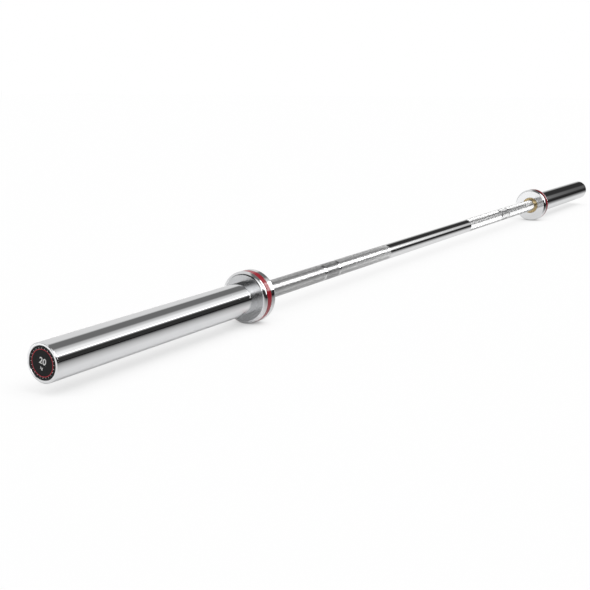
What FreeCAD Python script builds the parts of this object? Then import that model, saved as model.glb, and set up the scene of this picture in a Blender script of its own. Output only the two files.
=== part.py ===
import FreeCAD, Part
import math
import os

# Olympic barbell, millimetres. The bar lies along X with its middle at the origin and +Z up.
# One end is modelled outwards along +X and turned about Z for the other end.

# Overall sizes
overall_length = 2200.0
collar_spacing = 1310.0
shaft_diameter = 28.0
sleeve_diameter = 50.0
collar_diameter = 80.0
collar_width = 30.0

# Grip area of the shaft: smooth middle, knurled stretches and ring marks
smooth_centre_length = 411.0
inner_mark_spacing = 810.0
mark_offset = 50.0
mark_width = 6.0
knurl_depth = 0.15
knurl_end_gap = 8.0

# Shaft ends inside the sleeves
journal_step = 1.5
shoulder_play = 0.3
shaft_end_margin = 3.0
shaft_end_chamfer = 1.0

# Clearances
running_clearance = 0.05
rolling_clearance = 0.03
press_gap = 0.01
end_play = 0.2

# Needle bearings
roller_diameter = 2.5
roller_count = 18
roller_edge = 0.2
shell_wall = 0.93
shell_length = 20.0
shell_lip_gap = 0.8
cage_thickness_share = 0.58
cage_rim = 1.8
cage_end_play = 0.15
window_clearance = 0.05

# Bronze bushings
bushing_length = 30.0
bushing_flange_diameter = 40.0
bushing_flange_thickness = 3.0
bushing_chamfer = 0.5
bearing_spacing = 2.0

# Sleeve tube, with its stepped bore given as shares of the wall round the bearings
spigot_step = 2.0
register_depth = 0.1
middle_bore_gap = 1.8
sleeve_end_chamfer = 1.2
sleeve_mouth_chamfer = 0.4
shoulder_depth = 38.0
washer_seat_share = 1 / 3
circlip_groove_share = 4 / 9
cap_seat_share = 5 / 9

# Collar rings
collar_stop_width = 6.0
collar_band_width = 11.0
stop_edge_radius = 5.5
ring_chamfer = 3.0
band_recess = 0.3
edge_break = 0.4
flange_gap = 0.1

# Thrust washers and circlips
washer_thickness = 2.0
washer_bore_gap = 0.3
washer_rim_gap = 0.1
circlip_groove_depth = 0.55
circlip_groove_play = 0.05
shaft_circlip_thickness = 1.2
shaft_circlip_width = 2.6
sleeve_circlip_thickness = 1.5
sleeve_circlip_width = 3.0
circlip_gap = 5.0
circlip_lug_radius = 2.0
circlip_hole_radius = 0.9

# End cap and its badge
cap_recess = 0.5
cap_thickness = 4.0
cap_fit = 0.05
cap_edge = 0.5
cap_skirt_length = 12.0
cap_skirt_wall = 2.0
badge_border = 1.5
badge_thickness = 0.5

# Radii from the axis outwards
shaft_radius = shaft_diameter / 2
journal_radius = shaft_radius - journal_step
pitch_radius = journal_radius + rolling_clearance + roller_diameter / 2
raceway_radius = pitch_radius + roller_diameter / 2 + rolling_clearance
bore_radius = raceway_radius + shell_wall + press_gap
middle_bore_radius = journal_radius + middle_bore_gap
sleeve_radius = sleeve_diameter / 2
spigot_radius = sleeve_radius - spigot_step
collar_radius = collar_diameter / 2
bush_bore_radius = journal_radius + running_clearance
bushing_radius = bore_radius - press_gap
flange_radius = bushing_flange_diameter / 2
sleeve_wall = sleeve_radius - bore_radius
washer_seat_radius = bore_radius + washer_seat_share * sleeve_wall
groove_radius = bore_radius + circlip_groove_share * sleeve_wall
cap_seat_radius = bore_radius + cap_seat_share * sleeve_wall
shaft_groove_radius = journal_radius - circlip_groove_depth
washer_bore_radius = journal_radius + washer_bore_gap
washer_radius = washer_seat_radius - washer_rim_gap

# Places along the axis, from the middle of the bar outwards
end_x = overall_length / 2
collar_face_x = collar_spacing / 2
stop_face_x = collar_face_x + collar_width
band_outer_x = stop_face_x - collar_stop_width
band_inner_x = band_outer_x - collar_band_width
spigot_x = collar_face_x + bushing_flange_thickness
register_x = stop_face_x - register_depth
shaft_shoulder_x = collar_face_x - shoulder_play
washer_shoulder_x = end_x - shoulder_depth
shaft_clip_x = washer_shoulder_x + washer_thickness + end_play
outer_washer_x = shaft_clip_x + shaft_circlip_thickness + end_play
sleeve_clip_x = outer_washer_x + washer_thickness
shaft_groove_x = shaft_clip_x - circlip_groove_play
shaft_groove_end_x = shaft_clip_x + shaft_circlip_thickness + circlip_groove_play
shaft_end_x = shaft_groove_end_x + shaft_end_margin
sleeve_groove_x = sleeve_clip_x - circlip_groove_play
sleeve_groove_end_x = sleeve_clip_x + sleeve_circlip_thickness + circlip_groove_play
cap_face_x = end_x - cap_recess
cap_seat_x = cap_face_x - cap_thickness
inner_shell_x = spigot_x + bushing_length + bearing_spacing
inner_seat_end_x = inner_shell_x + shell_length
outer_bushing_x = washer_shoulder_x - bushing_length
outer_shell_x = outer_bushing_x - bearing_spacing - shell_length
needle_sets = {"inner": inner_shell_x, "outer": outer_shell_x}

origin = FreeCAD.Vector(0, 0, 0)
along = FreeCAD.Vector(1, 0, 0)
up = FreeCAD.Vector(0, 0, 1)


def point(x, radius):
    """A point of a half section, at x along the axis and radius above it."""
    return FreeCAD.Vector(x, 0, radius)


def turned(points):
    """Solid of revolution about the axis from a closed half section of straight edges."""
    corners = [point(*p) for p in points]
    face = Part.Face(Part.makePolygon(corners + corners[:1]))
    return face.revolve(origin, along, 360)


def tube(start_x, length, inner_radius, outer_radius):
    """Plain ring from start_x outwards."""
    end = start_x + length
    inner = [(start_x, inner_radius), (end, inner_radius)]
    return turned(inner + [(end, outer_radius), (start_x, outer_radius)])


def cylinder(start_x, length, radius, y, z):
    """Cylinder parallel to the axis, with its centre line at y and z."""
    return Part.makeCylinder(radius, length, FreeCAD.Vector(start_x, y, z), along)


def shaft():
    """One bar from end to end, with grip bands lowered by the knurl and grooved journals."""
    knurl_radius = shaft_radius - knurl_depth
    half_mark = mark_width / 2
    inner_mark_x = inner_mark_spacing / 2
    outer_mark_x = inner_mark_x + mark_offset
    bands = [
        (smooth_centre_length / 2, inner_mark_x - half_mark),
        (inner_mark_x + half_mark, outer_mark_x - half_mark),
        (outer_mark_x + half_mark, shaft_shoulder_x - knurl_end_gap),
    ]
    half = []
    for start, end in bands:
        half += [(start, shaft_radius), (start, knurl_radius)]
        half += [(end, knurl_radius), (end, shaft_radius)]
    half += [(shaft_shoulder_x, shaft_radius), (shaft_shoulder_x, journal_radius)]
    half += [(shaft_groove_x, journal_radius), (shaft_groove_x, shaft_groove_radius)]
    half += [(shaft_groove_end_x, shaft_groove_radius), (shaft_groove_end_x, journal_radius)]
    half += [(shaft_end_x - shaft_end_chamfer, journal_radius)]
    half += [(shaft_end_x, journal_radius - shaft_end_chamfer), (shaft_end_x, 0)]
    other = [(-x, radius) for x, radius in reversed(half)]
    return turned(other + half)


def sleeve_tube():
    """Tube with a spigot for the collar rings, bearing seats and a stepped mouth for the cap."""
    mouth_radius = cap_seat_radius + sleeve_mouth_chamfer
    return turned([
        (spigot_x, bore_radius),
        (inner_seat_end_x, bore_radius),
        (inner_seat_end_x, middle_bore_radius),
        (outer_shell_x, middle_bore_radius),
        (outer_shell_x, bore_radius),
        (washer_shoulder_x, bore_radius),
        (washer_shoulder_x, washer_seat_radius),
        (sleeve_groove_x, washer_seat_radius),
        (sleeve_groove_x, groove_radius),
        (sleeve_groove_end_x, groove_radius),
        (sleeve_groove_end_x, washer_seat_radius),
        (cap_seat_x, washer_seat_radius),
        (cap_seat_x, cap_seat_radius),
        (end_x - sleeve_mouth_chamfer, cap_seat_radius),
        (end_x, mouth_radius),
        (end_x, sleeve_radius - sleeve_end_chamfer),
        (end_x - sleeve_end_chamfer, sleeve_radius),
        (register_x, sleeve_radius),
        (register_x, spigot_radius),
        (spigot_x, spigot_radius),
    ])


def collar_stop():
    """Outer ring of the collar: a flat face for the plates and a rounded rim."""
    seat = spigot_radius + press_gap
    register = sleeve_radius + press_gap
    rim_radius = min(stop_edge_radius, collar_stop_width - edge_break)
    flat_radius = collar_radius - rim_radius
    rim_x = stop_face_x - rim_radius
    middle = rim_radius * math.sqrt(1 / 2)
    corners = [
        point(stop_face_x, flat_radius),
        point(stop_face_x, register),
        point(register_x, register),
        point(register_x, seat),
        point(band_outer_x, seat),
        point(band_outer_x, collar_radius - edge_break),
        point(band_outer_x + edge_break, collar_radius),
        point(rim_x, collar_radius),
    ]
    rim = Part.Arc(corners[-1], point(rim_x + middle, flat_radius + middle), corners[0])
    edges = [Part.LineSegment(a, b).toShape() for a, b in zip(corners, corners[1:])]
    face = Part.Face(Part.Wire(edges + [rim.toShape()]))
    return face.revolve(origin, along, 360)


def collar_band():
    """Coloured ring, a little lower than its neighbours."""
    return tube(band_inner_x, collar_band_width, spigot_radius + press_gap, collar_radius - band_recess)


def collar_ring():
    """Inner ring of the collar, closed over the spigot's end, with room for the bushing's flange."""
    seat = spigot_radius + press_gap
    opening = flange_radius + flange_gap
    return turned([
        (collar_face_x, opening),
        (spigot_x, opening),
        (spigot_x, seat),
        (band_inner_x, seat),
        (band_inner_x, collar_radius - edge_break),
        (band_inner_x - edge_break, collar_radius),
        (collar_face_x + ring_chamfer, collar_radius),
        (collar_face_x, collar_radius - ring_chamfer),
    ])


def flanged_bushing():
    """Bronze bushing with a thrust flange in the collar's inner face."""
    end = spigot_x + bushing_length
    return turned([
        (collar_face_x, bush_bore_radius),
        (end, bush_bore_radius),
        (end, bushing_radius - bushing_chamfer),
        (end - bushing_chamfer, bushing_radius),
        (spigot_x, bushing_radius),
        (spigot_x, flange_radius),
        (collar_face_x + bushing_chamfer, flange_radius),
        (collar_face_x, flange_radius - bushing_chamfer),
    ])


def outer_bushing():
    """Plain bronze bushing that ends at the washers' shoulder."""
    start = outer_bushing_x
    return turned([
        (start, bush_bore_radius),
        (washer_shoulder_x, bush_bore_radius),
        (washer_shoulder_x, bushing_radius),
        (start + bushing_chamfer, bushing_radius),
        (start, bushing_radius - bushing_chamfer),
    ])


def needle_shell(start_x):
    """Drawn cup with a lip at both ends."""
    lip_radius = journal_radius + shell_lip_gap
    outer_radius = raceway_radius + shell_wall
    shell_end = start_x + shell_length
    return turned([
        (start_x, lip_radius),
        (start_x + shell_wall, lip_radius),
        (start_x + shell_wall, raceway_radius),
        (shell_end - shell_wall, raceway_radius),
        (shell_end - shell_wall, lip_radius),
        (shell_end, lip_radius),
        (shell_end, outer_radius),
        (start_x, outer_radius),
    ])


def roller_angles():
    """Angles of the needles round the journal, in degrees."""
    return [360 * i / roller_count for i in range(roller_count)]


def cage_span(shell_x):
    """Start and length of the cage in a shell."""
    inset = shell_wall + cage_end_play
    return shell_x + inset, shell_length - 2 * inset


def needle_cage(shell_x):
    """Cage ring with one window for each needle."""
    start, length = cage_span(shell_x)
    half_thickness = cage_thickness_share * roller_diameter / 2
    cage = tube(start, length, pitch_radius - half_thickness, pitch_radius + half_thickness)
    width = roller_diameter + 2 * window_clearance
    corner = FreeCAD.Vector(start + cage_rim, -width / 2, pitch_radius - roller_diameter)
    window = Part.makeBox(length - 2 * cage_rim, width, 2 * roller_diameter, corner)
    windows = []
    for angle in roller_angles():
        copy = window.copy()
        copy.rotate(origin, along, angle)
        windows.append(copy)
    return cage.cut(Part.makeCompound(windows))


def needle_rollers(shell_x):
    """Needles of one bearing, each with broken edges."""
    cage_x, cage_length = cage_span(shell_x)
    inset = cage_rim + window_clearance
    roller = cylinder(cage_x + inset, cage_length - 2 * inset, roller_diameter / 2, 0, pitch_radius)
    roller = roller.makeChamfer(roller_edge, [e for e in roller.Edges if e.Closed])
    rollers = []
    for angle in roller_angles():
        copy = roller.copy()
        copy.rotate(origin, along, angle)
        rollers.append(copy)
    return Part.makeCompound(rollers)


def thrust_washer(start_x):
    """Hardened washer in the sleeve's counterbore."""
    return tube(start_x, washer_thickness, washer_bore_radius, washer_radius)


def circlip(start_x, thickness, inner_radius, outer_radius, lug_centre_radius, gap_side):
    """Open snap ring with a drilled lug on each side of its gap."""
    side = circlip_gap / 2 + circlip_lug_radius
    height = gap_side * math.sqrt(lug_centre_radius ** 2 - side ** 2)
    ring = tube(start_x, thickness, inner_radius, outer_radius)
    lugs = [cylinder(start_x, thickness, circlip_lug_radius, y, height) for y in (-side, side)]
    holes = [cylinder(start_x, thickness, circlip_hole_radius, y, height) for y in (-side, side)]
    gap_height = 2 * outer_radius
    corner = FreeCAD.Vector(start_x, -circlip_gap / 2, min(0, gap_side * gap_height))
    gap = Part.makeBox(thickness, circlip_gap, gap_height, corner)
    return ring.fuse(lugs).removeSplitter().cut(Part.makeCompound(holes + [gap]))


def shaft_circlip():
    """Snap ring in the journal's groove, its lugs outwards."""
    inner_radius = shaft_groove_radius + press_gap
    outer_radius = inner_radius + shaft_circlip_width
    return circlip(shaft_clip_x, shaft_circlip_thickness, inner_radius, outer_radius, outer_radius, 1)


def sleeve_circlip():
    """Snap ring in the sleeve's groove, its lugs inwards."""
    outer_radius = groove_radius - press_gap
    inner_radius = outer_radius - sleeve_circlip_width
    return circlip(sleeve_clip_x, sleeve_circlip_thickness, inner_radius, outer_radius, inner_radius, -1)


def badge_radius():
    """Radius of the recess in the end cap that the badge fills."""
    return cap_seat_radius - cap_fit - badge_border


def end_cap():
    """Moulded plug: a disc in the sleeve's mouth with a skirt behind it."""
    disc_radius = cap_seat_radius - cap_fit
    skirt_radius = washer_seat_radius - cap_fit
    skirt_x = cap_seat_x - cap_skirt_length
    hollow_radius = skirt_radius - cap_skirt_wall
    badge_x = cap_face_x - badge_thickness
    return turned([
        (cap_seat_x, 0),
        (badge_x, 0),
        (badge_x, badge_radius()),
        (cap_face_x, badge_radius()),
        (cap_face_x, disc_radius - cap_edge),
        (cap_face_x - cap_edge, disc_radius),
        (cap_seat_x, disc_radius),
        (cap_seat_x, skirt_radius),
        (skirt_x + cap_edge, skirt_radius),
        (skirt_x, skirt_radius - cap_edge),
        (skirt_x, hollow_radius),
        (cap_seat_x, hollow_radius),
    ])


def cap_badge():
    """Thin printed disc in the face of the end cap."""
    start = cap_face_x - badge_thickness
    return cylinder(start, badge_thickness, badge_radius() - press_gap, 0, 0)


def one_end():
    """Every piece of the +X end by name."""
    pieces = {
        "sleeve_tube": sleeve_tube(),
        "collar_stop": collar_stop(),
        "collar_band": collar_band(),
        "collar_ring": collar_ring(),
        "flanged_bushing": flanged_bushing(),
        "outer_bushing": outer_bushing(),
        "inner_thrust_washer": thrust_washer(washer_shoulder_x),
        "outer_thrust_washer": thrust_washer(outer_washer_x),
        "shaft_circlip": shaft_circlip(),
        "sleeve_circlip": sleeve_circlip(),
        "end_cap": end_cap(),
        "cap_badge": cap_badge(),
    }
    for place, shell_x in needle_sets.items():
        pieces[f"{place}_needle_shell"] = needle_shell(shell_x)
        pieces[f"{place}_needle_cage"] = needle_cage(shell_x)
        pieces[f"{place}_needle_rollers"] = needle_rollers(shell_x)
    return pieces


def main():
    """Writes every piece of the bar to its own file."""
    os.makedirs("parts", exist_ok=True)
    shaft().exportStep("parts/shaft.step")
    for name, piece in one_end().items():
        piece.exportStep(f"parts/right_{name}.step")
        opposite = piece.copy()
        opposite.rotate(origin, up, 180)
        opposite.exportStep(f"parts/left_{name}.step")


main()
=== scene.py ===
"""Looks of an olympic barbell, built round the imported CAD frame.

Lengths are metres. The bar lies along X with its middle at the origin and +Z up. One end is modelled outwards
along +X and a copy of it is turned about Z for the other end, as the CAD model does.
"""
import logging
import math
from collections.abc import Callable, Iterator
from contextlib import contextmanager
from dataclasses import dataclass, replace
from enum import Enum
from functools import partial

import bmesh
import bpy
from mathutils import Matrix, Vector


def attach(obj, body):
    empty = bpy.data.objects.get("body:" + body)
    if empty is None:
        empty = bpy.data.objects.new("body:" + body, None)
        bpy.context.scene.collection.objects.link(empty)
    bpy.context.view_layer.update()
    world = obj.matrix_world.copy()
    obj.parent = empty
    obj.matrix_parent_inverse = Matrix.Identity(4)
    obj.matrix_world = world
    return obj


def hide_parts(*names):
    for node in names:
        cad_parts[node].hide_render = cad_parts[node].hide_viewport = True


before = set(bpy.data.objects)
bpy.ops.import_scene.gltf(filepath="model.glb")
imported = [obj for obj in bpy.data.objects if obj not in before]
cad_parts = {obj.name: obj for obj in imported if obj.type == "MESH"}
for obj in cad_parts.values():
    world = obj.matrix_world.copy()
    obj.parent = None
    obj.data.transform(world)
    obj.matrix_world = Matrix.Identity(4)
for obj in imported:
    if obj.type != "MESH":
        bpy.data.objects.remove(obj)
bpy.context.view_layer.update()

log = logging.getLogger("barbell")

MM = 0.001
FULL_TURN = 2 * math.pi
MERGE = 1e-6
RING_SLACK = 0.02 * MM
BREAK_ANGLE = 35.0
SMOOTH_ANGLE = 40.0
FACE_WEIGHT = 80
NOISE_DETAIL = 3.0
Piece = bpy.types.Object
Triple = tuple[float, float, float]
Colour = Triple
Span = tuple[float, float]
Line = tuple[Span, Span]
Section = list[Span]
Bevel = tuple[float, int]
Ring = tuple[float, float, Bevel]
Print = tuple[str, float, float]


class Side(Enum):
    """The two ends of the bar."""

    LEFT = "left"
    RIGHT = "right"

    @property
    def body(self) -> str:
        """CAD body of the sleeve at this end."""
        return f"{self.value}_sleeve"


class Slot(Enum):
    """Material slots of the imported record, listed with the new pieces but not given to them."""

    SHAFT = "shaft_steel"
    CHROME = "sleeve_chrome"
    RED = "band_red"
    BRONZE = "bushing_bronze"
    CAP = "cap_plastic"
    BADGE = "badge_print"


class Element(Enum):
    """Kinds of mesh element that are picked in edit mode."""

    VERT = "verts"
    EDGE = "edges"


# Shader nodes

class Socket:
    """Output of a shader node that takes part in Python arithmetic."""

    def __init__(self, tree: "ShaderTree", link: bpy.types.NodeSocket | None) -> None:
        """Keeps the socket and the tree that it belongs to."""
        self.tree = tree
        self.link = link

    def __add__(self, other: "Value") -> "Socket":
        """Sum of two values."""
        return self.tree.maths("ADD", self, other)

    def __sub__(self, other: "Value") -> "Socket":
        """Difference of two values."""
        return self.tree.maths("SUBTRACT", self, other)

    def __rsub__(self, other: "Value") -> "Socket":
        """Difference with a number on the left."""
        return self.tree.maths("SUBTRACT", other, self)

    def __mul__(self, other: "Value") -> "Socket":
        """Product of two values."""
        return self.tree.maths("MULTIPLY", self, other)

    def __truediv__(self, other: "Value") -> "Socket":
        """Quotient of two values."""
        return self.tree.maths("DIVIDE", self, other)

    def __abs__(self) -> "Socket":
        """Size of the value without its sign."""
        return self.tree.maths("ABSOLUTE", self)

    __radd__ = __add__
    __rmul__ = __mul__


Value = Socket | float


class ShaderTree:
    """Node tree of a material or the world, filled node by node."""

    def __init__(self, tree: bpy.types.NodeTree) -> None:
        """Starts from an empty tree."""
        self.tree = tree
        tree.nodes.clear()

    def node(self, kind: str, settings: dict[str, object] | None = None,
             sockets: dict[int | str, object] | None = None, out: int | str = 0) -> Socket:
        """Adds any node.

        Args:
            kind: Node type without the ShaderNode prefix.
            settings: Properties of the node, set before its sockets.
            sockets: Values or links of its inputs, by name or index.
            out: Output to hand back, by name or index.

        Returns:
            The chosen output, or an empty socket for a node with none.
        """
        made = self.tree.nodes.new(f"ShaderNode{kind}")
        for key, value in (settings or {}).items():
            setattr(made, key, value)
        for key, value in (sockets or {}).items():
            inlet = made.inputs[key]
            if isinstance(value, Socket):
                self.tree.links.new(value.link, inlet)
            else:
                inlet.default_value = value
        return Socket(self, made.outputs[out] if len(made.outputs) else None)

    def maths(self, operation: str, *values: Value) -> Socket:
        """Math node on one or more values."""
        return self.node("Math", {"operation": operation}, dict(enumerate(values)))

    def split(self, vector: Socket) -> tuple[Socket, Socket, Socket]:
        """Three components of a vector."""
        outputs = self.node("SeparateXYZ", sockets={0: vector}).link.node.outputs
        return Socket(self, outputs[0]), Socket(self, outputs[1]), Socket(self, outputs[2])

    def join(self, x: Value, y: Value, z: Value) -> Socket:
        """Vector from three values."""
        return self.node("CombineXYZ", sockets={0: x, 1: y, 2: z})

    def rise(self, value: Socket, span: Span) -> Socket:
        """Smooth step from 0 to 1 over a span."""
        limits = {"Value": value, "From Min": span[0], "From Max": span[1]}
        return self.node("MapRange", {"interpolation_type": "SMOOTHSTEP"}, limits)

    def fall(self, value: Socket, span: Span) -> Socket:
        """Smooth step from 1 to 0 over a span."""
        return 1.0 - self.rise(value, span)

    def ramp(self, value: Socket, line: Line) -> Socket:
        """Straight line between two points (value, result), level beyond them.

        Args:
            value: Value to map.
            line: The two points.

        Returns:
            The result.
        """
        (low, first), (high, last) = line
        return self.node("MapRange", sockets={
            "Value": value, "From Min": low, "From Max": high, "To Min": first, "To Max": last})

    def mix(self, factor: Value, first: object, second: object) -> Socket:
        """Blend of two colours."""
        return self.node("Mix", {"data_type": "RGBA"}, {0: factor, 6: first, 7: second}, out=2)

    def blend(self, factor: Value, first: Socket, second: Socket) -> Socket:
        """Blend of two shaders."""
        return self.node("MixShader", sockets={0: factor, 1: first, 2: second})

    def noise(self, vector: Socket, scale: float, detail: float = NOISE_DETAIL) -> Socket:
        """Noise value at a place."""
        return self.node("TexNoise", sockets={"Vector": vector, "Scale": scale, "Detail": detail})

    def streaks(self, place: Socket, along: float, across: float) -> Socket:
        """Noise with its own scales along and across the bar."""
        x, y, z = self.split(place)
        return self.noise(self.join(x * along, y * across, z * across), 1.0)

    def bump(self, height: Socket, depth: float, strength: float, **more: Socket) -> Socket:
        """Normal bent by a height."""
        return self.node("Bump", sockets={"Strength": strength, "Distance": depth, "Height": height, **more})

    def place(self) -> Socket:
        """Object coordinates."""
        return self.node("TexCoord", out="Object")

    def from_axis(self, y: Socket, z: Socket) -> Socket:
        """Distance from the bar's axis."""
        return self.node("VectorMath", {"operation": "LENGTH"}, {0: self.join(0.0, y, z)}, out="Value")

    def rays(self) -> tuple[Socket, Socket]:
        """Kinds of ray that see the background as it is drawn.

        Returns:
            Whether the ray is from the camera, and whether it is from the camera, metal or glass.
        """
        outputs = self.node("LightPath").link.node.outputs
        kinds = ("Is Camera Ray", "Is Glossy Ray", "Is Transmission Ray")
        camera, glossy, through = (Socket(self, outputs[kind]) for kind in kinds)
        return camera, self.maths("MAXIMUM", camera, self.maths("MAXIMUM", glossy, through))


def rgba(colour: Colour) -> tuple[float, float, float, float]:
    """Colour with full alpha."""
    return (*colour, 1.0)


# Finishes

@dataclass(frozen=True)
class Finish:
    """A procedural material, made once under its name."""

    name: str

    def material(self) -> bpy.types.Material:
        """The finish as a Blender material.

        Returns:
            The material, built on the first call.
        """
        made = bpy.data.materials.get(self.name)
        if made is None:
            made = bpy.data.materials.new(self.name)
            made.use_nodes = True
            tree = ShaderTree(made.node_tree)
            tree.node("OutputMaterial", sockets={"Surface": self.surface(tree)})
        return made

    def surface(self, tree: ShaderTree) -> Socket:
        """Shader of the finish."""
        raise NotImplementedError


@dataclass(frozen=True)
class TurnedMetal(Finish):
    """Metal from the lathe: fine rings round the axis, faint scuffs along it and a soft bloom.

    A piece may have a duller flat face towards the bar's end, at face_x.
    """

    colour: Colour
    stain: Colour
    roughness: float
    roughness_spread: float
    ring_pitch: float
    ring_depth: float
    stain_share: float = 0.4
    scuff_scales: Span = (9.0, 700.0)
    scuff_span: Span = (0.55, 0.8)
    scuff_share: float = 0.5
    bloom_scale: float = 30.0
    bloom_span: Span = (0.4, 0.75)
    wear_share: float = 0.6
    face_x: float | None = None
    face_start: float = 0.12 * MM
    face_full: float = 0.02 * MM
    face_colour: Colour = (0.6, 0.605, 0.615)
    face_roughness: float = 0.17

    def surface(self, tree: ShaderTree) -> Socket:
        """Shader of turned metal.

        Args:
            tree: Tree to build in.

        Returns:
            The shader socket.
        """
        place = tree.place()
        x, y, z = tree.split(place)
        rings = tree.node("TexNoise", {"noise_dimensions": "1D"}, {
            "W": (x + tree.from_axis(y, z)) / self.ring_pitch, "Scale": 1.0, "Detail": NOISE_DETAIL})
        scuffs = tree.rise(tree.streaks(place, *self.scuff_scales), self.scuff_span)
        bloom = tree.rise(tree.noise(place, self.bloom_scale), self.bloom_span)
        wear = scuffs * self.scuff_share + bloom * (1.0 - self.scuff_share)
        colour = tree.mix(wear * self.stain_share, rgba(self.colour), rgba(self.stain))
        spread = self.wear_share * wear + (1.0 - self.wear_share) * rings
        roughness = self.roughness + self.roughness_spread * spread
        if self.face_x is not None:
            faced = tree.rise(abs(x), (self.face_x - self.face_start, self.face_x - self.face_full))
            colour = tree.mix(faced, colour, rgba(self.face_colour))
            roughness = roughness + self.face_roughness * faced
        return tree.node("BsdfPrincipled", sockets={
            "Base Color": colour, "Metallic": 1.0, "Roughness": roughness,
            "Normal": tree.bump(rings, self.ring_depth, 1.0)})


@dataclass(frozen=True)
class KnurledChrome(Finish):
    """Satin chrome on the knurl, whose diamonds are modelled shallow and shown by painted shade in the
    grooves.

    Crests shine as a plain round bar does. The steep flanks, too fine to model, are four shaders that lean
    along and round the bar. Each kind of facet counts by the share of it that is turned to the eye.
    """

    crest: Colour
    groove: Colour
    groove_radius: float
    crest_radius: float
    crest_roughness: float
    flank_roughness: float
    flank_share: float
    lean_along: float = 0.377
    lean_round: float = 0.575
    grain_scale: float = 2500.0
    grain_depth: float = 0.02 * MM
    grain_strength: float = 0.3
    grain_roughness: float = 0.06
    bloom_scales: Span = (14.0, 120.0)
    bloom_levels: Line = ((0.0, 0.75), (1.0, 1.15))

    def surface(self, tree: ShaderTree) -> Socket:
        """Shader of the knurl.

        Args:
            tree: Tree to build in.

        Returns:
            The shader socket.
        """
        place = tree.place()
        _, y, z = tree.split(place)
        radius = tree.from_axis(y, z)
        facet = partial(self.facet, tree, y / radius, z / radius)
        crown = facet(0.0, 0.0)
        grain = tree.noise(place, self.grain_scale)
        bloom = tree.ramp(tree.streaks(place, *self.bloom_scales), self.bloom_levels)
        # Painted shade: the colour darkens from the crests down into the grooves, and a random bloom varies
        # it.
        unshaded_share = tree.rise(radius, (self.groove_radius, self.crest_radius)) * bloom
        look = {"Base Color": tree.mix(unshaded_share, rgba(self.groove), rgba(self.crest)), "Metallic": 1.0}
        crests = tree.node("BsdfPrincipled", sockets={
            **look, "Roughness": self.crest_roughness + self.grain_roughness * grain,
            "Normal": tree.bump(grain, self.grain_depth, self.grain_strength, Normal=crown)})
        look["Roughness"] = self.flank_roughness + self.grain_roughness * grain
        pairs, sights = [], []
        for along in (-self.lean_along, self.lean_along):
            pair = [tree.node("BsdfPrincipled", sockets={**look, "Normal": facet(along, round_)})
                    for round_ in (-self.lean_round, self.lean_round)]
            pairs.append(tree.blend(0.5, *pair))
            sights.append(self.flank_share / 2 * self.sight(tree, facet(along, 0.0)))
        flat = (1.0 - self.flank_share) * self.sight(tree, crown)
        steep = sights[0] + sights[1]
        return tree.blend(steep / (flat + steep), crests, tree.blend(sights[1] / steep, *pairs))

    @staticmethod
    def sight(tree: ShaderTree, normal: Socket) -> Socket:
        """Share of a facet's area that is turned to the eye."""
        return 1.0 - tree.node("LayerWeight", sockets={"Blend": 0.5, "Normal": normal}, out="Facing")

    @staticmethod
    def facet(tree: ShaderTree, across: Socket, above: Socket, along: float, round_: float) -> Socket:
        """Normal of one kind of facet.

        Args:
            tree: Tree to build in.
            across: Part of the outward direction that runs along Y.
            above: Part of it that runs along Z.
            along: Lean along the axis.
            round_: Lean round the axis.

        Returns:
            The normal, in world space.
        """
        outward = math.sqrt(1.0 - along ** 2 - round_ ** 2)
        normal = tree.join(along, outward * across - round_ * above, outward * above + round_ * across)
        turned = {"vector_type": "NORMAL", "convert_from": "OBJECT", "convert_to": "WORLD"}
        return tree.node("VectorTransform", turned, {0: normal})


@dataclass(frozen=True)
class Coat(Finish):
    """Plastic, paint or ink: a fine grain, slight clouds, and a bump from the grain or from the clouds."""

    colour: Colour
    cloud_colour: Colour
    roughness: float
    grain_scale: float
    bump_depth: float
    gloss: float = 0.5
    bump_strength: float = 0.5
    cloud_bump: bool = False
    grain_detail: float = NOISE_DETAIL
    grain_share: float = 0.0
    grain_roughness: float = 0.15
    cloud_scale: float = 150.0
    cloud_span: Span = (0.35, 0.75)
    cloud_share: float = 1.0

    def surface(self, tree: ShaderTree) -> Socket:
        """Shader of the coat.

        Args:
            tree: Tree to build in.

        Returns:
            The shader socket.
        """
        place = tree.place()
        grain = tree.noise(place, self.grain_scale, self.grain_detail)
        cloud = tree.noise(place, self.cloud_scale)
        clouded = tree.rise(cloud, self.cloud_span) * self.cloud_share + grain * self.grain_share
        bump = tree.bump(cloud if self.cloud_bump else grain, self.bump_depth, self.bump_strength)
        return tree.node("BsdfPrincipled", sockets={
            "Base Color": tree.mix(clouded, rgba(self.colour), rgba(self.cloud_colour)),
            "Roughness": self.roughness + self.grain_roughness * grain, "Normal": bump,
            "Specular IOR Level": self.gloss})


MIRROR_CHROME = TurnedMetal("mirror_chrome", (0.90, 0.905, 0.915), (0.80, 0.80, 0.81), 0.03, 0.04,
                            0.35 * MM, 0.0002 * MM)
COLLAR_CHROME = TurnedMetal("collar_chrome", (0.89, 0.895, 0.905), (0.77, 0.77, 0.78), 0.06, 0.06,
                            0.30 * MM, 0.0006 * MM)
STOP_CHROME = replace(COLLAR_CHROME, name="stop_chrome", face_x=685.0 * MM)
POLISHED_SHAFT = TurnedMetal("polished_shaft", (0.89, 0.89, 0.895), (0.78, 0.78, 0.78), 0.05, 0.06,
                             0.40 * MM, 0.0003 * MM)
TURNED_BRONZE = TurnedMetal("turned_bronze", (0.64, 0.50, 0.27), (0.38, 0.28, 0.14), 0.22, 0.15,
                            0.45 * MM, 0.003 * MM, stain_share=0.7)
GROUND_STEEL = TurnedMetal("ground_steel", (0.58, 0.58, 0.60), (0.42, 0.41, 0.40), 0.18, 0.15,
                           0.25 * MM, 0.001 * MM)
CAGE_STEEL = TurnedMetal("cage_steel", (0.36, 0.36, 0.37), (0.24, 0.23, 0.22), 0.32, 0.15,
                         0.5 * MM, 0.002 * MM)
OILED_SPRING = TurnedMetal("oiled_spring", (0.12, 0.12, 0.13), (0.07, 0.06, 0.05), 0.3, 0.2,
                           0.6 * MM, 0.003 * MM)
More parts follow.
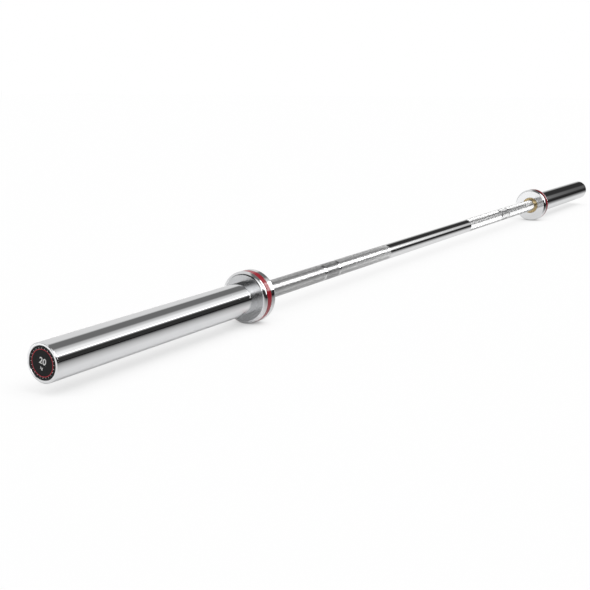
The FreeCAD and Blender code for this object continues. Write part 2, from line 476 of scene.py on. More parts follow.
RED_BAND = Coat("red_paint", (0.36, 0.015, 0.028), (0.28, 0.010, 0.020), 0.10, 3000.0, 0.01 * MM, gloss=0.55,
                bump_strength=0.2, cloud_bump=True, grain_detail=1.0, grain_share=0.3, grain_roughness=0.06,
                cloud_scale=60.0, cloud_span=(0.3, 0.7), cloud_share=0.5)
CAP_PLASTIC = Coat("moulded_cap", (0.012, 0.012, 0.013), (0.020, 0.020, 0.021), 0.38, 1800.0, 0.02 * MM,
                   gloss=0.2)
BADGE_FILM = Coat("badge_film", (0.009, 0.009, 0.010), (0.012, 0.012, 0.013), 0.25, 900.0, 0.004 * MM,
                  gloss=0.15)
WHITE_INK = Coat("white_ink", (0.80, 0.80, 0.79), (0.70, 0.70, 0.69), 0.35, 2500.0, 0.006 * MM)
RED_INK = Coat("red_ink", (0.55, 0.018, 0.04), (0.45, 0.014, 0.03), 0.35, 2500.0, 0.006 * MM)


# Modelling

def deselect() -> None:
    """Clears the selection, because operators act on all that is selected."""
    bpy.ops.object.select_all(action="DESELECT")


def select_only(piece: Piece) -> None:
    """Makes one piece the whole selection and the active object.

    Args:
        piece: Object to select.
    """
    deselect()
    piece.select_set(True)
    bpy.context.view_layer.objects.active = piece


@contextmanager
def editing(piece: Piece) -> Iterator[None]:
    """Edit mode on one piece.

    Args:
        piece: Object to edit, alone.

    Returns:
        A context that ends back in object mode.
    """
    select_only(piece)
    bpy.ops.object.mode_set(mode="EDIT")
    bpy.ops.mesh.select_mode(type="VERT")
    yield
    bpy.ops.object.mode_set(mode="OBJECT")


def named(name: str) -> Piece:
    """Gives the object that was just added its name.

    Args:
        name: Name of the object and its mesh.

    Returns:
        The object.
    """
    piece = bpy.context.object
    piece.name = name
    piece.data.name = name
    return piece


def pick(piece: Piece, element: Element, test: Callable[[list[Vector]], bool]) -> None:
    """Selects elements in edit mode by the places of their vertices.

    Args:
        piece: Object in edit mode.
        element: Kind of element.
        test: Takes the vertices' places and says whether the element is wanted.
    """
    bpy.ops.mesh.select_mode(type=element.name)
    bpy.ops.mesh.select_all(action="DESELECT")
    form = bmesh.from_edit_mesh(piece.data)
    for item in getattr(form, element.value):
        places = [item.co] if element is Element.VERT else [v.co for v in item.verts]
        item.select_set(test(places))
    bmesh.update_edit_mesh(piece.data)


def radius_of(place: Vector) -> float:
    """Distance of a place from the bar's axis."""
    return math.hypot(place.y, place.z)


def select_mesh() -> None:
    """Selects the whole mesh in edit mode."""
    bpy.ops.mesh.select_all(action="SELECT")


def close_up() -> None:
    """Merges doubles and turns the faces of the mesh in edit mode outwards."""
    select_mesh()
    bpy.ops.mesh.remove_doubles(threshold=MERGE)
    bpy.ops.mesh.normals_make_consistent(inside=False)


def modify(piece: Piece, kind: str, **settings: object) -> None:
    """Adds a modifier and applies it.

    Args:
        piece: Object to change.
        kind: Modifier type.
        **settings: Properties of the modifier.
    """
    select_only(piece)
    bpy.ops.object.modifier_add(type=kind)
    modifier = piece.modifiers[-1]
    for key, value in settings.items():
        setattr(modifier, key, value)
    bpy.ops.object.modifier_apply(modifier=modifier.name)


def smooth(piece: Piece) -> Piece:
    """Smooth shading up to an angle, with the normals of the broad faces kept.

    Args:
        piece: Object to shade.

    Returns:
        The same object.
    """
    select_only(piece)
    bpy.ops.object.shade_smooth_by_angle(angle=math.radians(SMOOTH_ANGLE))
    modify(piece, "WEIGHTED_NORMAL", keep_sharp=True, weight=FACE_WEIGHT)
    return piece


def turn(name: str, section: Section, steps: int) -> Piece:
    """Turns a half section about the X axis.

    Args:
        name: Name of the piece.
        section: Points (x, radius). Both ends are on the axis, or the last point joins the first.
        steps: Steps round the full turn.

    Returns:
        The piece, closed and with its faces outwards.
    """
    path = section if section[0][1] == 0.0 else section + section[:1]
    deselect()
    bpy.ops.mesh.primitive_plane_add(size=MM)
    piece = named(name)
    with editing(piece):
        select_mesh()
        bpy.ops.mesh.merge(type="CENTER")
        bpy.ops.transform.translate(value=(path[0][0], 0, path[0][1]))
        for (x, radius), (next_x, next_radius) in zip(path, path[1:]):
            step = {"value": (next_x - x, 0, next_radius - radius)}
            bpy.ops.mesh.extrude_vertices_move(TRANSFORM_OT_translate=step)
        select_mesh()
        bpy.ops.mesh.remove_doubles(threshold=MERGE)
        bpy.ops.mesh.spin(steps=steps, angle=FULL_TURN, center=(0, 0, 0), axis=(1, 0, 0))
        close_up()
    return piece


def round_ring(piece: Piece, x: float, radius: float, bevel: Bevel) -> None:
    """Bevels one ring of edges of a turned piece.

    Args:
        piece: Turned piece.
        x: Place of the ring along the axis.
        radius: Radius of the ring.
        bevel: Width of the bevel and steps across it.
    """
    def on_ring(places: list[Vector]) -> bool:
        """Whether an edge lies on the ring."""
        return all(abs(p.x - x) < RING_SLACK and abs(radius_of(p) - radius) < RING_SLACK for p in places)

    with editing(piece):
        pick(piece, Element.EDGE, on_ring)
        bpy.ops.mesh.bevel(offset=bevel[0], segments=bevel[1], affect="EDGES")


def lathe(name: str, section: Section, steps: int, *rings: Ring) -> Piece:
    """Turns a piece, rounds some of its edges and shades it.

    Args:
        name: Name of the piece.
        section: Half section for turn.
        steps: Steps round the full turn.
        *rings: Rings of edges for round_ring: place along the axis, radius and bevel.

    Returns:
        The finished piece.
    """
    piece = turn(name, section, steps)
    for ring in rings:
        round_ring(piece, *ring)
    return smooth(piece)


def break_edges(piece: Piece, width: float, segments: int = 2) -> None:
    """Rounds every sharp edge a little."""
    modify(piece, "BEVEL", width=width, segments=segments, limit_method="ANGLE",
           angle_limit=math.radians(BREAK_ANGLE))


def opposite(piece: Piece) -> Piece:
    """Copies a piece to the other end of the bar, turned about Z.

    Args:
        piece: Piece at the right end, named after it.

    Returns:
        The copy, with its own mesh.
    """
    select_only(piece)
    bpy.ops.object.duplicate(linked=False)
    twin = named(piece.name.replace(Side.RIGHT.value, Side.LEFT.value))
    with editing(twin):
        select_mesh()
        bpy.ops.transform.rotate(value=math.pi, orient_axis="Z", center_override=(0, 0, 0))
    return twin


def place_piece(piece: Piece, finish: Finish, body: str, slot: Slot, *nodes: str) -> None:
    """Dresses a piece and ties it to the frame.

    Args:
        piece: Finished mesh.
        finish: Its material.
        body: CAD body that it moves with.
        slot: Not used.
        *nodes: CAD nodes that it stands for.
    """
    piece.data.materials.clear()
    piece.data.materials.append(finish.material())
    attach(piece, body)
    if nodes:
        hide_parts(*nodes)
    log.info("%s rides on %s, %d faces", piece.name, body, len(piece.data.polygons))


def both_ends(piece: Piece, finish: Finish, slot: Slot, *nodes: str) -> None:
    """Dresses a piece of the right end and its copy at the left end.

    Args:
        piece: Piece at the right end.
        finish: Material of both.
        slot: Slot of the record.
        *nodes: Names without side of the CAD nodes that it stands for.
    """
    for side, made in ((Side.RIGHT, piece), (Side.LEFT, opposite(piece))):
        place_piece(made, finish, side.body, slot, *(f"{side.value}_{node}" for node in nodes))


# Bar

@dataclass
class Bar:
    """One steel bar: smooth middle, knurled grips with ring marks, journals inside the sleeves."""

    radius: float = 14.0 * MM
    core_radius: float = 13.6 * MM
    journal_radius: float = 12.5 * MM
    smooth_half: float = 205.5 * MM
    inner_mark: float = 405.0 * MM
    outer_mark: float = 455.0 * MM
    mark_half: float = 3.0 * MM
    grip_end: float = 646.7 * MM
    shoulder: float = 654.7 * MM
    clip_groove: Span = (1064.15 * MM, 1065.45 * MM)
    clip_groove_radius: float = 11.95 * MM
    end: float = 1068.45 * MM
    end_chamfer: float = 1.0 * MM
    edge: float = 0.12 * MM
    steps: int = 128
    groove_radius: float = 13.95 * MM
    knurl_height: float = 0.06 * MM
    knurl_land: float = 0.1 * MM
    end_slack: float = 0.05 * MM
    diamonds_round: int = 90
    diamond_length: float = 1.45 * MM
    row_margin_share: float = 0.25
    bore_radius: float = 13.5 * MM
    # Crest levels of the inner, marked and outer bands: painted light and shade on one chrome, lighter on the
    # inner band and darker on the marked band.
    painted_band_levels: Triple = (0.97, 0.69, 0.87)
    # Share of the crest level that the grooves keep, as painted shade.
    groove_share: float = 0.5
    crest_roughness: float = 0.21
    flank_roughness: float = 0.12
    flank_share: float = 0.55

    def bands(self) -> dict[str, Span]:
        """Knurled stretches of one half, from the middle outwards.

        Returns:
            Start and end of each band, by its name.
        """
        half = self.mark_half
        return {"inner": (self.smooth_half, self.inner_mark - half),
                "marked": (self.inner_mark + half, self.outer_mark - half),
                "outer": (self.outer_mark + half, self.grip_end)}

    def section(self) -> Section:
        """Half section of the bar, from its left end to its right end.

        Returns:
            Points on the axis at both ends.
        """
        half: Section = []
        for start, end in self.bands().values():
            half += [(start, self.radius), (start, self.core_radius)]
            half += [(end, self.core_radius), (end, self.radius)]
        half += [(self.shoulder, self.radius), (self.shoulder, self.journal_radius)]
        first, last = self.clip_groove
        half += [(first, self.journal_radius), (first, self.clip_groove_radius)]
        half += [(last, self.clip_groove_radius), (last, self.journal_radius)]
        half += [(self.end - self.end_chamfer, self.journal_radius)]
        half += [(self.end, self.journal_radius - self.end_chamfer), (self.end, 0.0)]
        return [(-x, radius) for x, radius in reversed(half)] + half

    def core(self) -> Piece:
        """Turns the bar, with its grips lowered for the knurl.

        Returns:
            The bar's piece.
        """
        piece = turn("bar", self.section(), self.steps)
        break_edges(piece, self.edge)
        return smooth(piece)

    def knurl(self, name: str, start: float, end: float) -> Piece:
        """Rolls one knurled band: diamonds with flat crests between crossing grooves.

        Args:
            name: Name of the piece.
            start: Inner end along the axis.
            end: Outer end.

        Returns:
            The band as a closed tube.
        """
        rows = round((end - start) / self.diamond_length)
        pitch = (end - start) / rows
        low, high = self.row_margin_share, 1.0 - self.row_margin_share

        def on_grid(places: list[Vector]) -> bool:
            """Whether an edge belongs to the tube's first grid, inside its ends."""
            run = abs(places[0].x - places[1].x)
            inside = all(start + MERGE < p.x < end - MERGE for p in places)
            return run > high * pitch or (run < low * pitch and inside)

        def on_end(places: list[Vector]) -> bool:
            """Whether an edge lies on an end of the tube, below the crests."""
            return all(min(abs(p.x - start), abs(p.x - end)) < MERGE
                       and radius_of(p) < self.groove_radius + self.end_slack for p in places)

        deselect()
        bpy.ops.mesh.primitive_cylinder_add(
            vertices=self.diamonds_round, radius=self.groove_radius, depth=end - start,
            end_fill_type="NOTHING", location=((start + end) / 2, 0, 0), rotation=(0, math.pi / 2, 0))
        piece = named(name)
        bpy.ops.object.transform_apply(location=True, rotation=True, scale=True)
        with editing(piece):
            pick(piece, Element.EDGE, lambda p: abs(p[0].x - p[1].x) > pitch)
            bpy.ops.mesh.subdivide(number_cuts=rows - 1)
            select_mesh()
            bpy.ops.mesh.poke()
            pick(piece, Element.VERT, lambda p: low < ((p[0].x - start) / pitch) % 1.0 < high)
            swell = 1 / math.cos(math.pi / self.diamonds_round)
            bpy.ops.transform.resize(value=(1, swell, swell), center_override=(0, 0, 0))
            pick(piece, Element.EDGE, on_grid)
            bpy.ops.mesh.dissolve_edges(use_verts=False)
            bpy.ops.mesh.select_mode(type="FACE")
            select_mesh()
            bpy.ops.mesh.normals_make_consistent(inside=False)
            bpy.ops.mesh.inset(thickness=self.knurl_land, depth=self.knurl_height, use_individual=True)
            pick(piece, Element.EDGE, on_end)
            shrink = self.bore_radius / self.groove_radius
            bpy.ops.mesh.extrude_edges_move()
            bpy.ops.transform.resize(value=(1, shrink, shrink), center_override=(0, 0, 0))
            bpy.ops.mesh.bridge_edge_loops()
            close_up()
        return smooth(piece)

    def finish(self, band: str, painted_level: float) -> KnurledChrome:
        """Finish of one knurled band.

        Args:
            band: Name of the band.
            painted_level: Level of its crests.

        Returns:
            The finish, with painted shade that darkens the grooves.
        """
        # Painted shade: the grooves take a darker share of the crests' level.
        groove_shade = painted_level * self.groove_share
        return KnurledChrome(
            f"{band}_knurl_chrome", (painted_level,) * 3, (groove_shade,) * 3, self.groove_radius,
            self.groove_radius + self.knurl_height, self.crest_roughness, self.flank_roughness,
            self.flank_share)

    def build(self) -> None:
        """Builds and dresses the bar and its six knurled bands."""
        place_piece(self.core(), POLISHED_SHAFT, "shaft", Slot.SHAFT, "shaft")
        # Each band's crests take their own painted level of light and shade.
        for (band, (start, end)), painted_level in zip(self.bands().items(), self.painted_band_levels):
            piece = self.knurl(f"right_{band}_knurl", start, end)
            for made in (piece, opposite(piece)):
                place_piece(made, self.finish(band, painted_level), "shaft", Slot.SHAFT)


# Ends

@dataclass
class Collar:
    """Three rings clamped on the sleeve's spigot, and the bronze flange in their inner face."""

    inner_face: float = 655.0 * MM
    spigot_x: float = 658.0 * MM
    band_inner: float = 668.0 * MM
    band_outer: float = 679.0 * MM
    outer_face: float = 685.0 * MM
    radius: float = 40.0 * MM
    band_radius: float = 39.7 * MM
    seat_radius: float = 23.01 * MM
    register_radius: float = 25.01 * MM
    register_x: float = 684.9 * MM
    rim: Bevel = (5.5 * MM, 12)
    ring_chamfer: float = 3.0 * MM
    opening_radius: float = 20.1 * MM
    edge: Bevel = (0.4 * MM, 3)
    shoulder: Bevel = (2.2 * MM, 6)
    flange_radius: float = 20.0 * MM
    bush_radius: float = 16.0 * MM
    bush_bore: float = 12.55 * MM
    bush_length: float = 30.0 * MM
    bush_chamfer: float = 0.5 * MM
    bush_edge: float = 0.1 * MM
    steps: int = 144

    def stop(self) -> Piece:
        """Outer ring with the plates' flat face and a rounded rim.

        Returns:
            The stop ring.
        """
        section = [(self.outer_face, self.register_radius), (self.outer_face, self.radius),
                   (self.band_outer, self.radius), (self.band_outer, self.seat_radius),
                   (self.register_x, self.seat_radius), (self.register_x, self.register_radius)]
        return lathe("right_stop_ring", section, self.steps,
                     (self.outer_face, self.radius, self.rim),
                     (self.band_outer, self.radius, self.edge))

    def band(self) -> Piece:
        """Red ring, a little lower than its neighbours.

        Returns:
            The band.
        """
        section = [(self.band_inner, self.seat_radius), (self.band_inner, self.band_radius),
                   (self.band_outer, self.band_radius), (self.band_outer, self.seat_radius)]
        return lathe("right_red_band", section, self.steps,
                     (self.band_inner, self.band_radius, self.edge),
                     (self.band_outer, self.band_radius, self.edge))

    def ring(self) -> Piece:
        """Inner ring, which closes over the end of the spigot.

        Returns:
            The clamp ring.
        """
        corner, rim = self.inner_face + self.ring_chamfer, self.radius - self.ring_chamfer
        section = [(self.inner_face, self.opening_radius), (self.spigot_x, self.opening_radius),
                   (self.spigot_x, self.seat_radius), (self.band_inner, self.seat_radius),
                   (self.band_inner, self.radius), (corner, self.radius), (self.inner_face, rim)]
        return lathe("right_clamp_ring", section, self.steps,
                     (self.band_inner, self.radius, self.edge),
                     (corner, self.radius, self.shoulder),
                     (self.inner_face, rim, self.edge))

    def flange(self) -> Piece:
        """Bronze bushing with its thrust flange.

        Returns:
            The bushing.
        """
        end = self.spigot_x + self.bush_length
        chamfer = self.bush_chamfer
        section = [(self.inner_face, self.bush_bore), (end, self.bush_bore),
                   (end, self.bush_radius - chamfer), (end - chamfer, self.bush_radius),
                   (self.spigot_x, self.bush_radius), (self.spigot_x, self.flange_radius),
                   (self.inner_face + chamfer, self.flange_radius),
                   (self.inner_face, self.flange_radius - chamfer)]
        piece = turn("right_bronze_flange", section, self.steps)
        break_edges(piece, self.bush_edge)
        return smooth(piece)

    def build(self) -> None:
        """Builds and dresses the collar at both ends."""
        rows = [(self.stop(), STOP_CHROME, Slot.CHROME, "collar_stop"),
                (self.band(), RED_BAND, Slot.RED, "collar_band"),
                (self.ring(), COLLAR_CHROME, Slot.CHROME, "collar_ring"),
                (self.flange(), TURNED_BRONZE, Slot.BRONZE, "flanged_bushing")]
        for row in rows:
            both_ends(*row)


@dataclass
class Sleeve:
    """Polished tube that takes the plates."""

    spigot_x: float = 658.0 * MM
    register_x: float = 684.9 * MM
    end: float = 1100.0 * MM
    radius: float = 25.0 * MM
    spigot_radius: float = 23.0 * MM
    bore_radius: float = 16.01 * MM
    middle_bore_radius: float = 14.3 * MM
    inner_seat_end: float = 710.0 * MM
    outer_seat: float = 1010.0 * MM
    washer_shoulder: float = 1062.0 * MM
    washer_seat_radius: float = 19.0 * MM
    clip_groove: Span = (1067.55 * MM, 1069.15 * MM)
    clip_groove_radius: float = 20.0 * MM
    cap_seat: float = 1095.5 * MM
    cap_seat_radius: float = 21.0 * MM
    end_chamfer: float = 1.2 * MM
    mouth_chamfer: float = 0.4 * MM
    edge: Bevel = (0.3 * MM, 3)
    steps: int = 160

    def tube(self) -> Piece:
        """Turns the tube with its stepped bore.

        Returns:
            The sleeve's piece.
        """
        first, last = self.clip_groove
        chamfer, rim = self.end - self.end_chamfer, self.radius - self.end_chamfer
        section = [
            (self.spigot_x, self.bore_radius), (self.inner_seat_end, self.bore_radius),
            (self.inner_seat_end, self.middle_bore_radius), (self.outer_seat, self.middle_bore_radius),
            (self.outer_seat, self.bore_radius), (self.washer_shoulder, self.bore_radius),
            (self.washer_shoulder, self.washer_seat_radius), (first, self.washer_seat_radius),
            (first, self.clip_groove_radius), (last, self.clip_groove_radius),
            (last, self.washer_seat_radius), (self.cap_seat, self.washer_seat_radius),
            (self.cap_seat, self.cap_seat_radius), (self.end - self.mouth_chamfer, self.cap_seat_radius),
            (self.end, self.cap_seat_radius + self.mouth_chamfer), (self.end, rim), (chamfer, self.radius),
            (self.register_x, self.radius), (self.register_x, self.spigot_radius),
            (self.spigot_x, self.spigot_radius)]
        return lathe("right_polished_sleeve", section, self.steps,
                     (self.end, rim, self.edge),
                     (chamfer, self.radius, self.edge))

    def build(self) -> None:
        """Builds and dresses the sleeve at both ends."""
        both_ends(self.tube(), MIRROR_CHROME, Slot.CHROME, "sleeve_tube")


@dataclass
class EndCap:
    """Black plug in the sleeve's mouth, with a printed disc in its face."""

    face: float = 1099.5 * MM
    seat: float = 1095.5 * MM
    radius: float = 20.95 * MM
    edge: float = 0.5 * MM
    edge_bevel: Bevel = (0.2 * MM, 3)
    skirt_radius: float = 18.95 * MM
    skirt_wall: float = 2.0 * MM
    skirt_length: float = 12.0 * MM
    recess_radius: float = 19.45 * MM
    badge_radius: float = 19.44 * MM
    badge_thickness: float = 0.5 * MM
    badge_bevel: Bevel = (0.08 * MM, 2)
    print_thickness: float = 0.06 * MM
    ring_radius: float = 16.6 * MM
    ring_width: float = 0.8 * MM
    tick_inner: float = 17.5 * MM
    tick_outer: float = 18.6 * MM
    tick_width: float = 0.5 * MM
    ticks: int = 24
    number: Print = ("20", 11.0 * MM, -2.0 * MM)
    unit: Print = ("kg", 4.5 * MM, 6.5 * MM)
    bold_share: float = 0.02
    roll: float = -16.0
    steps: int = 128

    def plug(self) -> Piece:
        """Turns the plug with its skirt and the disc's recess.

        Returns:
            The plug.
        """
        floor, foot = self.face - self.badge_thickness, self.seat - self.skirt_length
        inner, rim = self.skirt_radius - self.skirt_wall, self.radius - self.edge
        section = [(floor, 0.0), (floor, self.recess_radius), (self.face, self.recess_radius),
                   (self.face, rim), (self.face - self.edge, self.radius), (self.seat, self.radius),
                   (self.seat, self.skirt_radius), (foot, self.skirt_radius), (foot, inner),
                   (self.seat, inner), (self.seat, 0.0)]
        return lathe("right_end_plug", section, self.steps,
                     (self.face, rim, self.edge_bevel))

    def disc(self) -> Piece:
        """Turns the badge's disc.

        Returns:
            The disc.
        """
        floor = self.face - self.badge_thickness
        section = [(floor, 0.0), (floor, self.badge_radius), (self.face, self.badge_radius), (self.face, 0.0)]
        return lathe("right_badge_disc", section, self.steps,
                     (self.face, self.badge_radius, self.badge_bevel))

    def ring(self) -> Piece:
        """Turns the printed ring near the disc's rim.

        Returns:
            The ring.
        """
        low, high = self.ring_radius - self.ring_width / 2, self.ring_radius + self.ring_width / 2
        top = self.face + self.print_thickness
        section = [(self.face, low), (top, low), (top, high), (self.face, high)]
        return lathe("right_badge_ring", section, self.steps)

    def scale(self) -> Piece:
        """Prints the tick marks: one tick extruded from a plane, then spun round as copies.

        Returns:
            The ticks' piece.
        """
        deselect()
        bpy.ops.mesh.primitive_plane_add(size=1.0)
        piece = named("right_badge_ticks")
        length = self.tick_outer - self.tick_inner
        with editing(piece):
            select_mesh()
            bpy.ops.transform.resize(value=(length, self.tick_width, 1.0), center_override=(0, 0, 0))
            bpy.ops.mesh.extrude_region_move(TRANSFORM_OT_translate={"value": (0, 0, self.print_thickness)})
            select_mesh()
            bpy.ops.transform.translate(value=((self.tick_inner + self.tick_outer) / 2, 0, self.face))
            bpy.ops.mesh.spin(steps=self.ticks, dupli=True, angle=FULL_TURN, center=(0, 0, 0), axis=(0, 0, 1))
            close_up()
        self.stand_up(piece)
        return piece

    def lettering(self, name: str, words: str, height: float, drop: float) -> Piece:
        """Prints plain figures on the disc.

        Args:
            name: Name of the piece.
            words: Figures or unit.
            height: Letter height.
            drop: Distance of the text's middle below the disc's centre.

        Returns:
            The text as a mesh.
        """
        deselect()
        bpy.ops.object.text_add(location=(0, -drop, self.face + self.print_thickness / 2))
        text = bpy.context.object.data
        text.body = words
        text.size = height
        text.extrude = self.print_thickness / 2
        text.offset = self.bold_share * height
        text.align_x = "CENTER"
        text.align_y = "CENTER"
        bpy.ops.object.convert(target="MESH")
        piece = named(name)
        bpy.ops.object.transform_apply(location=True, rotation=True, scale=True)
        self.stand_up(piece)
        with editing(piece):
            close_up()
        return piece

    def stand_up(self, piece: Piece) -> None:
        """Turns a print that lies facing +Z to face +X, rolled as the sleeve lies.

        Args:
            piece: Print drawn flat, with its reading direction along X.
        """
        upright = Matrix(((0, 0, 1), (1, 0, 0), (0, 1, 0))).to_4x4()
        roll = Matrix.Rotation(math.radians(self.roll), 4, "X")
        select_only(piece)
        piece.matrix_world = roll @ upright
        bpy.ops.object.transform_apply(location=True, rotation=True, scale=True)

    def build(self) -> None:
        """Builds and dresses the plug and its print at both ends."""
        both_ends(self.plug(), CAP_PLASTIC, Slot.CAP, "end_cap")
        both_ends(self.disc(), BADGE_FILM, Slot.BADGE, "cap_badge")
        both_ends(self.ring(), RED_INK, Slot.BADGE)
        both_ends(self.scale(), WHITE_INK, Slot.BADGE)
        for name, words in (("number", self.number), ("unit", self.unit)):
            both_ends(self.lettering(f"right_badge_{name}", *words), WHITE_INK, Slot.BADGE)


@dataclass
class Bearings:
    """Pieces inside the sleeves, which keep their CAD shape."""

    def finishes(self) -> dict[str, Finish]:
        """Finish of each inner piece.

        Returns:
            The finishes, by the piece's name without its side.
        """
        steels = {"needle_shell": GROUND_STEEL, "needle_cage": CAGE_STEEL, "needle_rollers": GROUND_STEEL,
                  "thrust_washer": GROUND_STEEL}
        rows = {"outer_bushing": TURNED_BRONZE, "shaft_circlip": OILED_SPRING, "sleeve_circlip": OILED_SPRING}
        for place in ("inner", "outer"):
            rows |= {f"{place}_{name}": finish for name, finish in steels.items()}
        return rows

    def build(self) -> None:
        """Dresses the inner CAD nodes at both ends."""
        for side in Side:
            for name, finish in self.finishes().items():
                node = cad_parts[f"{side.value}_{name}"]
                for material_slot in node.material_slots:
                    material_slot.material = finish.material()
                log.info("%s keeps its CAD shape in %s", node.name, finish.name)


# Studio

@dataclass(frozen=True)
class Floor(Finish):
    """White floor. Metal sees it fall off in front of the bar, and dimmer under the near grip."""

    name: str = "pale_floor"
    height: float = -0.040
    size: float = 40.0
    colour: Colour = (0.97, 0.97, 0.97)
    camera_white: float = 0.85
    metal_white: float = 0.85
    metal_span: Span = (-0.5, 0.3)
    behind: Line = ((0.06, 0.78), (0.18, 1.0))
    front_start: float = 0.045
    front_slope: Line = ((-0.9, 8.0), (1.1, 20.0))
    front_curve: Line = ((-0.6, 1.5), (1.1, 25.0))
    grip_dimming: float = 0.15
    grip_start: Span = (-0.66, -0.58)
    grip_end: Span = (-0.26, -0.16)
    grip_front: Span = (-0.14, -0.09)
    contact_reach: float = 0.05
    contact_depth: float = 0.75

    def surface(self, tree: ShaderTree) -> Socket:
        """Shader of the floor: partly lit, partly its own light, with a contact shadow.

        Args:
            tree: Tree to build in.

        Returns:
            The shader socket.
        """
        camera, seen = tree.rays()
        x, y, _ = tree.split(tree.place())
        front = tree.maths("MAXIMUM", 0.0 - y - self.front_start, 0.0)
        slope, curve = tree.ramp(x, self.front_slope), tree.ramp(x, self.front_curve)
        falloff = 1.0 + front * slope * (1.0 + front * curve)
        grips = tree.rise(x, self.grip_start) * tree.fall(x, self.grip_end) * tree.rise(y, self.grip_front)
        shade = tree.ramp(y, self.behind) * (1.0 - self.grip_dimming * grips) / falloff
        level = tree.maths("MAXIMUM", camera, shade)
        hidden = 1.0 - tree.node("AmbientOcclusion", sockets={"Distance": self.contact_reach}, out="AO")
        contact = 1.0 - self.contact_depth * hidden * hidden * hidden
        black, white = rgba((0.0, 0.0, 0.0)), rgba((1.0, 1.0, 1.0))
        glow = tree.node("Emission", sockets={
            "Color": tree.mix(level * contact, black, white), "Strength": 1.0})
        matt = tree.node("BsdfDiffuse", sockets={"Color": tree.mix(level, black, rgba(self.colour))})
        share = self.metal_white * tree.rise(x, self.metal_span)
        return tree.blend(seen * share + camera * (self.camera_white - share), matt, glow)

    def lay(self) -> None:
        """Lays the floor as part of the stage."""
        deselect()
        bpy.ops.mesh.primitive_plane_add(size=self.size, location=(0, 0, self.height))
        piece = named("floor")
        piece.data.materials.append(self.material())


@dataclass(frozen=True)
class Room:
    """Studio that polished metal mirrors: a long softbox in front and above, pale walls behind, dark ends.

    Feet and tops are degrees round the bar, from the front upwards. Other spans and lines follow the part of
    a direction that runs along X. The core is the softbox's hot line, and its gap is a dim stretch.
    """

    base: float = 0.03
    end_squeeze: Line = ((0.70, 1.0), (0.81, 0.92))
    near_lean: Line = ((-0.8, 0.66), (-0.15, 1.0))
    far_lean: Line = ((0.1, 1.12), (0.70, 1.0))
    ends: Span = (0.82, 0.88)
    core_level: float = 1.5
    core_foot: Span = (28.5, 30.5)
    core_top: Span = (32.0, 34.5)
    core_end: Span = (0.87, 0.91)
    box_level: float = 0.93
    box_foot: Span = (19.0, 34.0)
    box_foot_drop: float = 8.0
    box_top: Span = (62.0, 76.0)
    upper_dimming: float = 0.45
    upper_box: Span = (44.0, 64.0)
    far_top: Span = (46.0, 66.0)
    far_start: Span = (0.85, 0.90)
    near_gain: Line = ((-0.8, 1.6), (-0.6, 1.0))
    gap_dimming: float = 0.8
    gap_start: Span = (0.08, 0.16)
    gap_end: Span = (0.30, 0.36)
    end_dimming: float = 0.93
    end_fade: Span = (0.885, 0.965)
    ceiling_level: float = 0.127
    ceiling_foot: Span = (60.0, 72.0)
    wall_level: float = 0.56
    wall_foot: Span = (106.0, 120.0)
    wall_lift: Line = ((0.1, 14.0), (0.7, 0.0))
    wall_start: Span = (-0.76, -0.58)
    far_wall_level: float = 0.6
    far_wall_foot: Span = (112.0, 152.0)

    def level(self, tree: ShaderTree) -> Socket:
        """Brightness of the studio by direction.

        Args:
            tree: Tree of the world.

        Returns:
            The level.
        """
        x, y, z = tree.split(tree.node("TexCoord", out="Generated"))
        bearing = tree.maths("ARCTAN2", z, 0.0 - y) * math.degrees(1.0) * tree.ramp(x, self.end_squeeze)
        angle = bearing * (tree.ramp(x, self.near_lean) * tree.ramp(x, self.far_lean))
        ends = tree.rise(x, self.ends)
        core = tree.rise(angle, self.core_foot) * tree.fall(angle, self.core_top)
        core = core * tree.fall(x, self.core_end)
        box = tree.rise(angle + self.box_foot_drop * ends, self.box_foot) * tree.fall(angle, self.box_top)
        box = box * (1.0 - self.upper_dimming * tree.rise(angle, self.upper_box))
        box = box * (1.0 - tree.rise(angle, self.far_top) * tree.rise(x, self.far_start))
        box = box * tree.ramp(x, self.near_gain)
        box = box * (1.0 - self.gap_dimming * tree.rise(x, self.gap_start) * tree.fall(x, self.gap_end))
        softbox = self.box_level * box + self.core_level * core
        softbox = softbox * (1.0 - self.end_dimming * tree.rise(x, self.end_fade))
        ceiling = self.ceiling_level * tree.rise(bearing, self.ceiling_foot)
        wall = self.wall_level * tree.rise(bearing + tree.ramp(x, self.wall_lift), self.wall_foot)
        backs = (ceiling + wall) * tree.rise(x, self.wall_start) * (1.0 - ends)
        far_wall = self.far_wall_level * tree.rise(bearing, self.far_wall_foot) * ends
        return self.base + softbox + backs + far_wall


@dataclass(frozen=True)
class MetalLamp:
    """Distant lamp that only metal sees.

    Its directions fill a span along X and a span of angles round the bar, in degrees from the front upwards.
    """

    name: str
    along: Span
    angles: Span
    level: float
    distance: float = 30.0

    def hang(self) -> None:
        """Hangs the lamp."""
        low, high = (math.asin(share) for share in self.along)
        tilt, turned = (low + high) / 2, math.radians(sum(self.angles) / 2)
        flat = math.cos(tilt)
        arc = flat * math.radians(self.angles[1] - self.angles[0])
        outward = Vector((math.sin(tilt), -flat * math.cos(turned), flat * math.sin(turned)))
        upward = Vector((0.0, math.sin(turned), math.cos(turned)))
        pose = Matrix((upward, outward.cross(upward), outward)).transposed().to_4x4()
        pose.translation = outward * self.distance
        deselect()
        bpy.ops.object.light_add(type="AREA")
        lamp = bpy.context.object
        lamp.name = self.name
        lamp.matrix_world = pose
        lamp.data.shape = "RECTANGLE"
        lamp.data.size = 2.0 * self.distance * math.tan(arc / 2)
        lamp.data.size_y = 2.0 * self.distance * math.tan((high - low) / 2)
        lamp.data.energy = self.level * math.pi * lamp.data.size * lamp.data.size_y
        lamp.visible_camera = False
        lamp.visible_diffuse = False


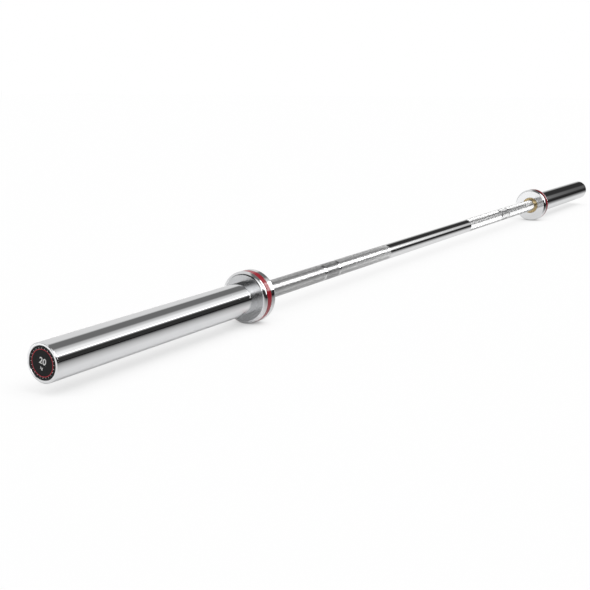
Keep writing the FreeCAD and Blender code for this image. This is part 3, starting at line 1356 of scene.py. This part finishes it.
@dataclass
class Studio:
    """Floor, light and the camera at the photograph's angle."""

    floor: Floor = Floor()
    room: Room = Room()
    lamps: tuple[MetalLamp, ...] = (MetalLamp("grip_strip", (0.826, 0.874), (16.0, 57.0), 7.5),
                                    MetalLamp("far_panel", (0.375, 0.62), (8.0, 64.0), 3.4))
    ambient: float = 0.5
    sun_strength: float = 1.87
    sun_height: float = 57.0
    sun_spread: float = 40.0
    camera_place: Triple = (-1.904248, -0.826988, 0.318834)
    camera_right: Triple = (0.51705, -0.85595, 0.0)
    camera_forward: Triple = (0.83708, 0.50565, -0.20883)
    focal_pixels: float = 1003.116
    image_pixels: int = 590
    sensor: float = 36.0

    def light(self) -> None:
        """Sets the world, a broad soft sun from the front and the lamps for metal."""
        world = bpy.data.worlds.new("studio")
        world.use_nodes = True
        bpy.context.scene.world = world
        tree = ShaderTree(world.node_tree)
        camera, seen = tree.rays()
        level = tree.maths("MAXIMUM", camera, self.room.level(tree))
        colour = tree.mix(seen, rgba((self.ambient,) * 3), tree.join(level, level, level))
        tree.node("OutputWorld", sockets={"Surface": tree.node("Background", sockets={"Color": colour})})
        deselect()
        bpy.ops.object.light_add(type="SUN")
        sun = bpy.context.object
        sun.name = "key_light"
        sun.data.energy = self.sun_strength
        sun.data.angle = math.radians(self.sun_spread)
        sun.visible_glossy = False
        sun.rotation_euler = (math.radians(90.0 - self.sun_height), 0.0, 0.0)
        for lamp in self.lamps:
            lamp.hang()

    def camera(self) -> None:
        """Sets the camera where the photograph was taken."""
        right = Vector(self.camera_right).normalized()
        forward = Vector(self.camera_forward).normalized()
        up = right.cross(forward).normalized()
        pose = Matrix((right, up, -forward)).transposed().to_4x4()
        pose.translation = Vector(self.camera_place)
        deselect()
        bpy.ops.object.camera_add()
        camera = bpy.context.object
        camera.name = "photo_camera"
        camera.matrix_world = pose
        camera.data.sensor_width = self.sensor
        camera.data.lens = self.sensor * self.focal_pixels / self.image_pixels
        bpy.context.scene.camera = camera

    def build(self) -> None:
        """Sets up the floor, the light, the camera and the plain view transform."""
        self.floor.lay()
        self.light()
        self.camera()
        bpy.context.scene.view_settings.view_transform = "Standard"


def main() -> None:
    """Builds the bar, its ends, the bearings' finishes and the studio, in that order."""
    logging.basicConfig(level=logging.INFO, format="%(message)s")
    for assembly in (Bar(), Collar(), Sleeve(), EndCap(), Bearings(), Studio()):
        assembly.build()
        log.info("%s done", type(assembly).__name__)


if __name__ == "__main__":
    main()
